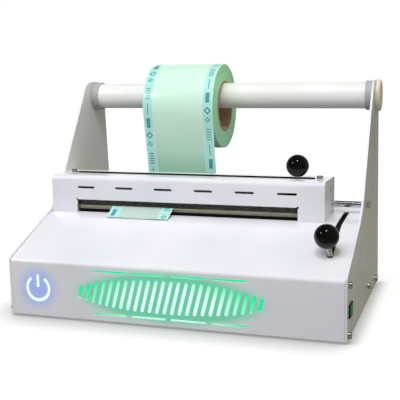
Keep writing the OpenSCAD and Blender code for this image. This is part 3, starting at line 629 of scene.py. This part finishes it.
@dataclass(frozen=True)
class WhiteTable(Finish):
    """Matt white table: darker close to the object, where little sky reaches it, white further off."""

    dark: str = "#909090"
    lift: float = 0.86
    reach: tuple[float, float] = (62.0, 22.0)
    turn: tuple[float, float] = (200.0, 222.0)
    shut: float = 0.4
    deepest: float = 0.36
    near: float = 330.0
    far: float = 800.0

    def paint(self, recipe: Recipe) -> None:
        """Fills the material's tree."""
        path = recipe.put("LightPath").node.outputs
        seen = recipe.put("Math MAXIMUM", path["Is Camera Ray"], path["Is Transmission Ray"])
        right = recipe.put("SeparateXYZ", recipe.mm)
        reach = recipe.put("MapRange", right, *self.turn, self.reach[0] * MM, self.reach[1] * MM)
        open_sky = recipe.put("AmbientOcclusion", "#FFFFFF", reach, samples=16)
        share = recipe.put("MapRange", open_sky, self.shut, 1.0, self.deepest, 1.0)
        away = recipe.put("VectorMath LENGTH", recipe.mm)
        bright = recipe.put("MapRange", away, self.near, self.far, self.lift, 1.0)
        lift = recipe.put("Math MULTIPLY", share, bright)
        recipe.shade(
            Base_Color=recipe.put("Mix", seen, self.dark, self.colour), Roughness=0.9,
            Specular_IOR_Level=0.0, Emission_Color="#FFFFFF",
            Emission_Strength=recipe.put("Math MULTIPLY", seen, lift))


# The lit field and the power sign light the coat round them, as the cutouts scatter light.
SPILL = (Glow("#8FE6C6", (0.0, 37.0), (146.0, 44.0), 0.4, full=0.5),
         Glow("#66DDB4", (0.0, 37.0), (126.0, 33.0), 0.85, full=0.75),
         Glow("#A3BDFF", (-171.0, 38.0), (34.0, 34.0), 0.85))
COAT = PowderCoat("white powder coat", "#EEEEF4")
LIT_COAT = PowderCoat("white powder coat with light spill", "#EEEEF4", glows=SPILL)
TUBE_PAINT = PowderCoat("white tube enamel", "#F5F5F3", shade="#EEEDE9", peel=3.0, rough=0.3)
CHROME = BareMetal("chromed steel", "#D6D7DA", rough=0.12, line=0.25, along=Axis.X, scuff=0.08)
NICKEL = BareMetal("nickel-plated screw steel", "#D2D1CA", dull="#85847E", rough=0.16, line=0.5)
ROD_STEEL = BareMetal("ground rod steel", "#CFD0D4", dull="#A2A3A8", rough=0.14, line=0.3, along=Axis.X)
ZINC = BareMetal("zinc-plated sheet", "#B9BBBE", rough=0.34, line=0.8, along=Axis.Y, scuff=0.2)
TURNED = BareMetal("turned drive steel", "#A9AAAD", rough=0.28, line=0.5, along=Axis.X, scuff=0.16)
# The heater block's aluminium is given a dark, dull tone.
DARK_HEATER_METAL = BareMetal("dark-toned aluminium", "#66665A", dull="#38382F", rough=0.36, line=0.6, scuff=0.18)
# The pressure jaw turns black below about 121 mm as painted shade from the deck's slot edge.
JAW_METAL = BareMetal("milled jaw aluminium", "#C8C4B4", dull="#A5A193", rough=0.32, line=0.6, scuff=0.16,
                      shade_heights=(120.7, 121.7))
RUBBER = Moulded("black rubber", "#141414", rough=0.75, grain=0.9, depth=0.06, dusty=0.2)
BAKELITE = Moulded("polished bakelite", "#020202", rough=0.028, grain=3.0, depth=0.002, gloss=0.3,
                   dusty=0.004)
BLACK_ABS = Moulded("black moulded plastic", "#131416", rough=0.42, grain=0.5, depth=0.03, gloss=0.4)
# The guide strip is near-black, unreflecting matt plastic: partly a real black strip, partly painted shade
# for the dark inside of the head's slot.
SLOT_SHADE_BLACK = Moulded("matt black guide plastic", "#070708", rough=0.85, grain=0.5, depth=0.02, gloss=0.02,
                     dusty=0.02)
GREEN_ABS = Moulded("green rocker plastic", "#2FB060", rough=0.28, grain=0.6, depth=0.01)
GREY_ABS = Moulded("grey collar plastic", "#B4B4B5", rough=0.4, grain=0.6, depth=0.02)
CREAM_ABS = Moulded("cream cap plastic", "#EFECDD", rough=0.33, grain=0.7, depth=0.01, dust="#DAD5BE",
                    dusty=0.3)
CERAMIC = Moulded("ivory insulating block", "#DCD3BD", rough=0.6, grain=0.8, depth=0.05, dusty=0.2)
TAPE = GlassTape("woven release tape", "#B2AE9C", pale="#CFCBBB")
GREEN_LIGHT = LitLens("green-lit acrylic", "#DDFFF3")
SIGN_LIGHT = LitLens("white-lit acrylic", "#E4F8FF", tint="#B4C4FF", body="#7C83A0", centre=(-171.0, 38.0),
                     core=0.5, half=(30.0, 30.0))
LAMP_BOARD = CircuitBoard("lamp board", "#14502F", top=400.0)
POWER_BOARD = CircuitBoard("power board", "#14502F", top=14.9)
IRON = StackedIron("stacked transformer iron", "#3A3A3B")
TABLE = WhiteTable("white table", "#7C7C7C")


class SubAssembly:
    """A group of pieces that are dressed together."""

    title = "sub-assembly"

    def wear(self, finish: Finish, *names: str) -> None:
        """Gives carried-over nodes a finish.

        Args:
            finish: What they are made of.
            names: The nodes.
        """
        for name in names:
            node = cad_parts[name]
            node.data.materials.clear()
            node.data.materials.append(finish.material())
            log.info("%s: %s in %s", self.title, name, finish.name)

    def keep(self, piece: bpy.types.Object, body: str, slot: str, *nodes: str) -> None:
        """Seats a finished piece.

        Args:
            piece: The new piece.
            body: Body that it moves with.
            slot: Slot that its finish belongs to; not used.
            nodes: Nodes that it stands for.
        """
        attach(piece, body)
        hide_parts(*nodes)
        log.info("%s: %s made, %d faces", self.title, piece.name, len(piece.data.polygons))

    def dress(self) -> None:
        """Builds and finishes the group."""
        raise NotImplementedError


class Housing(SubAssembly):
    """Side plates, folded deck cover, base tray, rear panel, feet and screws."""

    title = "housing"

    def dress(self) -> None:
        """Builds and finishes the group."""
        self.wear(COAT, "left_side_plate", "right_side_plate", "rear_panel")
        self.wear(LIT_COAT, "deck_cover")
        self.wear(ZINC, "base_plate")
        self.wear(RUBBER, "feet")
        self.wear(NICKEL, "plate_screws")


class SealingHead(SubAssembly):
    """Head cover and ends, the heated jaw above and the pressure jaw below."""

    title = "sealing head"

    def dress(self) -> None:
        """Builds and finishes the group."""
        self.wear(COAT, "head_cover", "left_head_end", "right_head_end")
        self.wear(NICKEL, "head_screws", "stay_nuts")
        self.wear(ROD_STEEL, "stay_rod")
        self.wear(DARK_HEATER_METAL, "heater_block")
        self.wear(JAW_METAL, "pressure_bar")
        self.wear(TURNED, "heater_rods", "jaw_posts")
        self.wear(CERAMIC, "heater_insulators")
        self.wear(TAPE, "press_strip")


class JawDrive(SubAssembly):
    """Hand lever, cam shaft, cams and their stands."""

    title = "jaw drive"

    def dress(self) -> None:
        """Builds and finishes the group."""
        self.wear(TURNED, "left_cam_stand", "right_cam_stand", "lever_hub", "cam_shaft", "lift_cams")
        self.wear(CHROME, "lever_rod")
        self.wear(BAKELITE, "lever_knob")


class FilmCutter(SubAssembly):
    """Knob, stem, carriage and blade that run along the head in a guide strip."""

    title = "film cutter"

    def dress(self) -> None:
        """Builds and finishes the group."""
        self.wear(CHROME, "cutter_rail", "cutter_stem", "cutter_blade")
        self.wear(BLACK_ABS, "cutter_carriage")
        self.wear(SLOT_SHADE_BLACK, "cutter_guide")
        self.wear(BAKELITE, "cutter_knob")


class Electrics(SubAssembly):
    """Front lights, boards, transformer, inlet, fuse and switch."""

    title = "electrics"

    def dress(self) -> None:
        """Builds and finishes the group."""
        self.wear(GREEN_LIGHT, "light_diffuser")
        self.wear(SIGN_LIGHT, "icon_lens")
        self.wear(LAMP_BOARD, "led_board")
        self.wear(POWER_BOARD, "control_board")
        self.wear(IRON, "transformer")
        self.wear(BLACK_ABS, "mains_inlet", "fuse_holder", "switch_body")
        self.wear(GREEN_ABS, "rocker")


class ReelCarrier(SubAssembly):
    """Tube, collared plugs and end caps."""

    title = "reel carrier"

    def dress(self) -> None:
        """Builds and finishes the group."""
        self.wear(TUBE_PAINT, "roll_tube")
        self.wear(GREY_ABS, "left_tube_plug", "right_tube_plug")
        self.wear(CREAM_ABS, "left_end_cap", "right_end_cap")


@dataclass
class FilmSupply(SubAssembly):
    """Film wound on its core, the web that hangs from it, and a cut pouch in the jaws."""

    title = "film supply"
    lean: float = math.radians(12)
    web_bend: float = 22 * MM
    pouch_bend: float = 8 * MM
    pouch_corner: float = -42 * MM
    sheet: float = 0.3 * MM
    solid: float = 0.4 * MM
    room: float = 0.4 * MM
    corner: float = 0.7 * MM
    step: float = 2 * MM
    columns: int = 28
    facets: int = 120
    end_cuts: int = 17
    snug: float = 0.05 * MM
    trim: float = 0.5 * MM
    tight: float = 2 * MM
    set_back: float = 0.16 * MM
    # Height, turns in a millimetre of radius and start of the waves in the reel's ends.
    uneven: tuple[tuple[float, float, float], ...] = ((0.1 * MM, 2.3, 0.0), (0.08 * MM, 5.9, 1.0))
    bow: float = 0.5 * MM
    ripple: float = 0.35 * MM
    wave: float = 23 * MM
    skew: float = 4.0
    curl: float = 0.5 * MM
    wrinkle: float = 0.25 * MM
    wrinkles: float = 9.0
    free_end: float = 14 * MM

    def __post_init__(self) -> None:
        """Takes the reel's place and size from the frame."""
        low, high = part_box("reel_film")
        self.left, self.right = low.x, high.x
        self.axis = Vector((0, (low.y + high.y) / 2, (low.z + high.z) / 2))
        self.outer = (high.z - low.z) / 2
        core_low, core_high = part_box("reel_core")
        self.inner = (core_high.z - core_low.z) / 2 + self.snug
        pouch_low, pouch_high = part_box("pouch")
        self.film = PrintedFilm("mint pouch film", "#D4F6E2",
                                width=(self.right - self.left - 2 * self.trim) / MM)
        # The hanging web darkens along its first 75 mm of run as painted shade from the head.
        self.web_film = PrintedFilm("mint pouch film of the hanging web", "#D4F6E2", width=self.film.width,
                                    fade=(0.0, 75.0))
        self.cut_film = PrintedFilm("mint pouch film of the cut pouch", "#C1D6CE", shade="#B8D0C7",
                                    width=(pouch_high.x - pouch_low.x) / MM)
        centre = (self.axis.y / MM, self.axis.z / MM)
        self.edges = WoundEdge("wound film edge", "#A9F7CB", centre=centre)
        self.board = Cardboard("spiral-wound cardboard", "#AE987A", centre=centre)
        self.drop = self.axis.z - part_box("film_web")[0].z

    def dress(self) -> None:
        """Builds and finishes the group."""
        self.wear(self.board, "reel_core")
        self.wind()
        self.hang()
        self.lay()

    def wind(self) -> None:
        """Models the wound film as one ring with softened edges and uneven turns."""
        middle = (self.inner + self.outer) / 2
        bpy.ops.object.select_all(action="DESELECT")
        bpy.ops.mesh.primitive_plane_add(
            size=1, location=((self.left + self.right) / 2, self.axis.y, self.axis.z + middle),
            rotation=(math.pi / 2, 0, 0))
        piece = bpy.context.object
        piece.name = "reel_winding"
        piece.scale = (self.right - self.left, self.outer - self.inner, 1)
        bpy.ops.object.transform_apply(location=True, rotation=True, scale=True)
        bpy.ops.object.mode_set(mode="EDIT")
        bpy.ops.mesh.bevel(offset=self.corner, segments=3, affect="VERTICES")
        bpy.ops.mesh.delete(type="ONLY_FACE")
        self.pick_ends(piece)
        bpy.ops.mesh.subdivide(number_cuts=self.end_cuts)
        bpy.ops.object.mode_set(mode="OBJECT")
        self.stagger(piece)
        bpy.ops.object.mode_set(mode="EDIT")
        bpy.ops.mesh.select_all(action="SELECT")
        bpy.ops.mesh.spin(steps=self.facets, angle=2 * math.pi, center=self.axis, axis=(1, 0, 0))
        bpy.ops.mesh.select_all(action="SELECT")
        bpy.ops.mesh.remove_doubles(threshold=SAME)
        bpy.ops.mesh.normals_make_consistent(inside=False)
        bpy.ops.object.mode_set(mode="OBJECT")
        bpy.ops.object.shade_smooth_by_angle(angle=math.radians(40))
        piece.data.materials.append(self.film.material())
        piece.data.materials.append(self.edges.material())
        for face in piece.data.polygons:
            face.material_index = 1 if abs(face.normal.x) > 0.6 else 0
        self.mark(piece, self.on_reel)
        self.keep(piece, "reel", "pouch_film", "reel_film")

    def pick_ends(self, piece: bpy.types.Object) -> None:
        """Selects the edges at the reel's two ends in edit mode.

        Args:
            piece: Outline of the winding.
        """
        bpy.ops.mesh.select_mode(type="EDGE")
        bpy.ops.mesh.select_all(action="DESELECT")
        bpy.ops.object.mode_set(mode="OBJECT")
        mesh = piece.data
        for line in mesh.edges:
            ends = [mesh.vertices[i].co.x for i in line.vertices]
            line.select = any(all(abs(x - side) < SAME for x in ends) for side in (self.left, self.right))
        bpy.ops.object.mode_set(mode="EDIT")

    def stagger(self, piece: bpy.types.Object) -> None:
        """Lets some turns of the reel stand back a little, as a wound roll's do.

        Args:
            piece: Outline of the winding.
        """
        for spot in piece.data.vertices:
            radius = (spot.co - self.axis).z
            if not self.inner + self.tight < radius < self.outer - self.tight:
                continue
            waves = [high * math.sin(radius / MM * often + start) for high, often, start in self.uneven]
            back = self.set_back + sum(waves)
            if abs(spot.co.x - self.left) < SAME:
                spot.co.x += back
            elif abs(spot.co.x - self.right) < SAME:
                spot.co.x -= back

    def on_reel(self, spot: Vector, near: Vector) -> tuple[float, float]:
        """Gives the printed place of a point on the reel.

        Args:
            spot: The point.
            near: Middle of its face, which settles the turn at the print's seam.

        Returns:
            Millimetres across the film and along its run, which ends where the web starts.
        """
        angle = math.atan2(spot.z - self.axis.z, spot.y - self.axis.y)
        middle = math.atan2(near.z - self.axis.z, near.y - self.axis.y)
        if angle - middle > math.pi:
            angle -= 2 * math.pi
        elif middle - angle > math.pi:
            angle += 2 * math.pi
        along = (angle + math.pi - self.lean) * self.outer
        return (spot.x - self.left - self.trim) / MM, along / MM

    def mark(self, piece: bpy.types.Object, place: Callable[[Vector, Vector], tuple[float, float]]) -> None:
        """Writes each corner's printed place to the piece.

        Args:
            piece: Piece that is printed.
            place: Gives millimetres across and along from a point and its face's middle.
        """
        mesh = piece.data
        store = mesh.attributes.new("print_mm", "FLOAT_VECTOR", "CORNER")
        for face in mesh.polygons:
            for corner in face.loop_indices:
                across, along = place(mesh.vertices[mesh.loops[corner].vertex_index].co, face.center)
                store.data[corner].vector = (across, along, 0.0)

    def trace(self, first: Vector, corner: Vector, last: Vector,
              bend: float) -> list[tuple[Vector, Vector, float]]:
        """Follows a path of three points whose corner is rounded.

        Args:
            first: Start of the path, as Y and Z.
            corner: Where it turns.
            last: Its end.
            bend: Radius of the turn.

        Returns:
            Points along it, the way that is right of the path there, and the length so far.
        """
        go, leave = (corner - first).normalized(), (last - corner).normalized()
        angle = go.angle_signed(leave)
        side = 1 if angle > 0 else -1
        cut = bend * math.tan(abs(angle) / 2)
        start, centre = corner - go * cut, corner - go * cut + Vector((go.y, -go.x)) * side * bend
        run_in, turned = (start - first).length, bend * abs(angle)
        total = run_in + turned + (last - corner).length - cut
        rows = []
        for i in range(round(total / self.step) + 1):
            done = total * i / round(total / self.step)
            swing = Matrix.Rotation(-side * min(max(done - run_in, 0.0), turned) / bend, 2)
            way = swing @ go
            spot = first + go * done if done < run_in else centre + swing @ (start - centre)
            spot = spot + way * max(0.0, done - run_in - turned)
            rows.append((spot, Vector((way.y, -way.x)), done))
        return rows

    def strip(self, name: str, rows: list[tuple[Vector, Vector, float]], span: tuple[float, float],
              lift: Callable[[float, float], float]) -> tuple[bpy.types.Object, tuple[float, float]]:
        """Makes a sheet that follows a path.

        Args:
            name: Name of the piece.
            rows: Path as trace gives it.
            span: Left and right edge.
            lift: Height of the sheet's own ripple, from the share across and the length along.

        Returns:
            The sheet, and its flat width and length.
        """
        bpy.ops.object.select_all(action="DESELECT")
        bpy.ops.mesh.primitive_grid_add(x_subdivisions=self.columns, y_subdivisions=len(rows) - 1, size=1)
        piece = bpy.context.object
        piece.name = name
        mesh = piece.data
        width = span[1] - span[0]
        placed = {}
        for spot in mesh.vertices:
            share = spot.co.x + 0.5
            at, side, along = rows[round((spot.co.y + 0.5) * (len(rows) - 1))]
            at = at + side * (self.solid / 2 + lift(share, along))
            spot.co = (span[0] + width * share, at.x, at.y)
            placed[spot.index] = (width * share / MM, along / MM, 0.0)
        store = mesh.attributes.new("print_mm", "FLOAT_VECTOR", "CORNER")
        for loop in mesh.loops:
            store.data[loop.index].vector = placed[loop.vertex_index]
        wall = piece.modifiers.new("wall", "SOLIDIFY")
        wall.thickness = self.sheet
        wall.offset = 0.0
        bpy.ops.object.modifier_apply(modifier="wall")
        bpy.ops.object.shade_smooth_by_angle(angle=math.radians(50))
        return piece, (width, rows[-1][2])

    def web_ripple(self, share: float, along: float) -> float:
        """Bows the hanging web a little, and not where it leaves the reel or turns in.

        Args:
            share: Place across the sheet, from 0 to 1.
            along: Length from the sheet's start.

        Returns:
            Height of the ripple towards the front.
        """
        fade = math.sin(math.pi * min(1.0, along / self.drop))
        bow = self.bow * math.cos(2 * math.pi * (share - 0.5))
        return (bow + self.ripple * math.sin(along / self.wave + self.skew * share)) * fade

    def pouch_ripple(self, share: float, along: float) -> float:
        """Lets the pouch's free end curl down at its corners.

        Args:
            share: Place across the sheet, from 0 to 1.
            along: Length from the sheet's start.

        Returns:
            Height of the curl, below the sheet.
        """
        free = max(0.0, 1 - along / self.free_end)
        corners = self.curl * abs(2 * share - 1) ** 2
        return -(corners + self.wrinkle * math.sin(self.wrinkles * share)) * free

    def hang(self) -> None:
        """Hangs the web from the front of the reel and turns it in under the head."""
        low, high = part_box("film_web")
        reach = self.outer + self.room
        first = Vector((self.axis.y - reach * math.cos(self.lean),
                        self.axis.z - reach * math.sin(self.lean)))
        corner = Vector((first.x + (first.y - low.z) * math.tan(self.lean), low.z))
        rows = self.trace(first, corner, Vector((low.y, low.z)), self.web_bend)
        piece, flat = self.strip("film_web_sheet", rows, (low.x, high.x), self.web_ripple)
        piece.data.materials.append(self.web_film.material())
        self.keep(piece, "chassis", "pouch_film", "film_web")

    def lay(self) -> None:
        """Lays the cut pouch in the jaws with its free end down on the deck."""
        low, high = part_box("pouch")
        tip = Vector((low.y, low.z + self.solid))
        bend, back = Vector((self.pouch_corner, high.z)), Vector((high.y, high.z))
        rows = self.trace(tip, bend, back, self.pouch_bend)
        piece, flat = self.strip("pouch_sheet", rows, (low.x, high.x), self.pouch_ripple)
        piece.data.materials.append(self.cut_film.material())
        self.keep(piece, "chassis", "pouch_film", "pouch")


@dataclass(frozen=True)
class Lamp:
    """A round softbox, seen in gloss or not."""

    name: str
    towards: tuple[float, float, float]
    distance: float
    size: float
    power: float
    colour: str = "#FFFFFF"
    mirrored: bool = True


@dataclass
class Studio:
    """White table and background, soft lamps and the camera."""

    place: tuple[float, float, float] = (332.78 * MM, -1018.87 * MM, 287.05 * MM)
    yaw: float = math.radians(17.848)
    pitch: float = math.radians(6.814)
    roll: float = math.radians(-0.458)
    focal: float = 807.6
    middle: tuple[float, float] = (211.02, 180.35)
    picture: int = 400
    sensor: float = 36.0
    table: float = 40.0
    ambient: float = 0.31
    right_share: float = 2.2
    gloss_share: float = 0.4
    cool: str = "#F1F3FF"
    warm: str = "#FFF8CC"
    turn: tuple[float, float] = (-0.3, 0.7)
    mirrored: tuple[float, float, float] = (-0.305, 0.945, 0.119)
    mirror_edge: tuple[float, float] = (0.84, 0.96)
    aimed: tuple[float, float, float] = (0.03, -0.02, 0.14)
    lamps: tuple[Lamp, ...] = (
        Lamp("overhead softbox", (-0.12, -0.55, 0.83), 1.4, 1.1, 11.1, "#F3F5FF", mirrored=False),
        Lamp("left lamp", (-0.60, -0.59, 0.53), 1.5, 0.2, 2.8),
        Lamp("front lamp", (0.13, -0.49, 0.86), 1.5, 0.2, 4.4),
    )

    def build(self) -> None:
        """Makes the stage, the light and the camera."""
        self.lay_floor()
        for lamp in self.lamps:
            self.hang_lamp(lamp)
        self.light_world()
        self.aim()
        bpy.context.scene.view_settings.view_transform = "Standard"

    def lay_floor(self) -> None:
        """Lays a wide white table under the feet."""
        bpy.ops.object.select_all(action="DESELECT")
        bpy.ops.mesh.primitive_plane_add(size=self.table, location=(0, 0, CAD_BOX[0].z))
        floor = bpy.context.object
        floor.name = "floor"
        floor.data.materials.append(TABLE.material())

    def hang_lamp(self, lamp: Lamp) -> None:
        """Hangs a softbox that looks at the object.

        Args:
            lamp: Which one.
        """
        data = bpy.data.lights.new(lamp.name, "AREA")
        data.shape = "DISK"
        data.size = lamp.size
        data.energy = lamp.power
        data.color = linear(lamp.colour)[:3]
        holder = bpy.data.objects.new(lamp.name, data)
        bpy.context.scene.collection.objects.link(holder)
        way = Vector(lamp.towards).normalized()
        holder.location = Vector(self.aimed) + way * lamp.distance
        holder.rotation_euler = way.to_track_quat("Z", "Y").to_euler()
        holder.visible_glossy = lamp.mirrored

    def light_world(self) -> None:
        """Sets a white background that lights softly, stronger and warmer from the right."""
        world = bpy.data.worlds.new("white studio")
        bpy.context.scene.world = world
        world.use_nodes = True
        recipe = Recipe(world.node_tree)
        path = recipe.put("LightPath").node.outputs
        way = recipe.place["Generated"]
        right = recipe.put("MapRange", recipe.put("SeparateXYZ", way), *self.turn)
        facing = recipe.put("VectorMath DOT_PRODUCT", way, self.mirrored)
        behind = recipe.put("MapRange", facing, *self.mirror_edge)
        seen = recipe.put("Math MAXIMUM", path["Is Camera Ray"], path["Is Transmission Ray"])
        seen = recipe.put("Math MAXIMUM", seen, recipe.put("Math MULTIPLY", path["Is Glossy Ray"], behind))
        soft = recipe.put("MapRange", right, 0.0, 1.0, self.ambient, self.ambient * self.right_share)
        gloss = recipe.put("MapRange", path["Is Glossy Ray"], 0.0, 1.0, 1.0, self.gloss_share)
        strength = recipe.put("Math MAXIMUM", seen, recipe.put("Math MULTIPLY", soft, gloss))
        tint = recipe.put("Mix", right, self.cool, self.warm)
        colour = recipe.put("Mix", seen, tint, "#FFFFFF")
        recipe.put("OutputWorld", recipe.put("Background", colour, strength))

    def aim(self) -> None:
        """Sets the camera as fitted to the photo."""
        flat = math.cos(self.pitch)
        ahead = Vector((-math.sin(self.yaw) * flat, math.cos(self.yaw) * flat, -math.sin(self.pitch)))
        level = Vector((math.cos(self.yaw), math.sin(self.yaw), 0))
        up = level.cross(ahead)
        side = level * math.cos(self.roll) + up * math.sin(self.roll)
        top = up * math.cos(self.roll) - level * math.sin(self.roll)
        data = bpy.data.cameras.new("camera")
        data.sensor_width = self.sensor
        data.lens = self.focal * data.sensor_width / self.picture
        data.shift_x = (self.picture / 2 - self.middle[0]) / self.picture
        data.shift_y = (self.middle[1] - self.picture / 2) / self.picture
        camera = bpy.data.objects.new("camera", data)
        bpy.context.scene.collection.objects.link(camera)
        turned = Matrix((side, top, -ahead)).transposed().to_4x4()
        camera.matrix_world = Matrix.Translation(self.place) @ turned
        bpy.context.scene.camera = camera


def main() -> None:
    """Builds the sub-assemblies in order, then the studio."""
    logging.basicConfig(level=logging.INFO, format="%(message)s")
    groups = (Housing(), SealingHead(), JawDrive(), FilmCutter(), Electrics(), ReelCarrier(), FilmSupply())
    for group in groups:
        group.dress()
    Studio().build()


if __name__ == "__main__":
    main()
